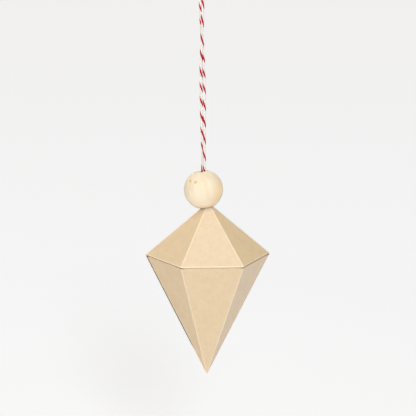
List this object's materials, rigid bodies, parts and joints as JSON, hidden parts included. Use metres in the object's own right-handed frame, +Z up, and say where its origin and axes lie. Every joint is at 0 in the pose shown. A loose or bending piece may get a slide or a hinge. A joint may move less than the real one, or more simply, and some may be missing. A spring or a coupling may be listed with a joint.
{
  "type": "geometric paper ornament",
  "caption": "Hanging ornament: a faceted gem folded from card, with a wooden bead above it on a doubled twine that ends in a hanging loop.",
  "frame": {"origin": "inside top of the hanging loop, where a hook or twig holds it", "axes": "+Z up along the hanging twine; -Y towards the viewer of the picture; +X to the viewer's right"},
  "size_m": [0.064, 0.0554, 0.2131],
  "materials": {
    "card": "uncoated kraft card",
    "glue": "dried paper glue",
    "bead_wood": "bare turned wood",
    "twine": "twisted cotton, red and natural white"
  },
  "bodies": {
    "twine": {"hanging_twine": "twine", "stopper_knot": "twine", "twine_tail_long": "twine", "twine_tail_short": "twine"},
    "gem": {"crown": "card", "pavilion": "card", "crown_seam_glue": "glue", "pavilion_seam_glue": "glue", "girdle_glue_1": "glue", "girdle_glue_2": "glue", "girdle_glue_3": "glue", "girdle_glue_4": "glue", "girdle_glue_5": "glue", "girdle_glue_6": "glue"},
    "bead": {"bead": "bead_wood"}
  },
  "joints": [
    {"name": "gem_spin", "type": "hinge", "parent": "twine", "child": "gem", "pos_m": [0.0043, -0.0019, -0.12], "axis": [0, 0, 1], "continuous": true},
    {"name": "bead_slide", "type": "slide", "parent": "twine", "child": "bead", "axis": [-0.0199, 0, 0.9998], "range_m": [0, 0.082]}
  ]
}
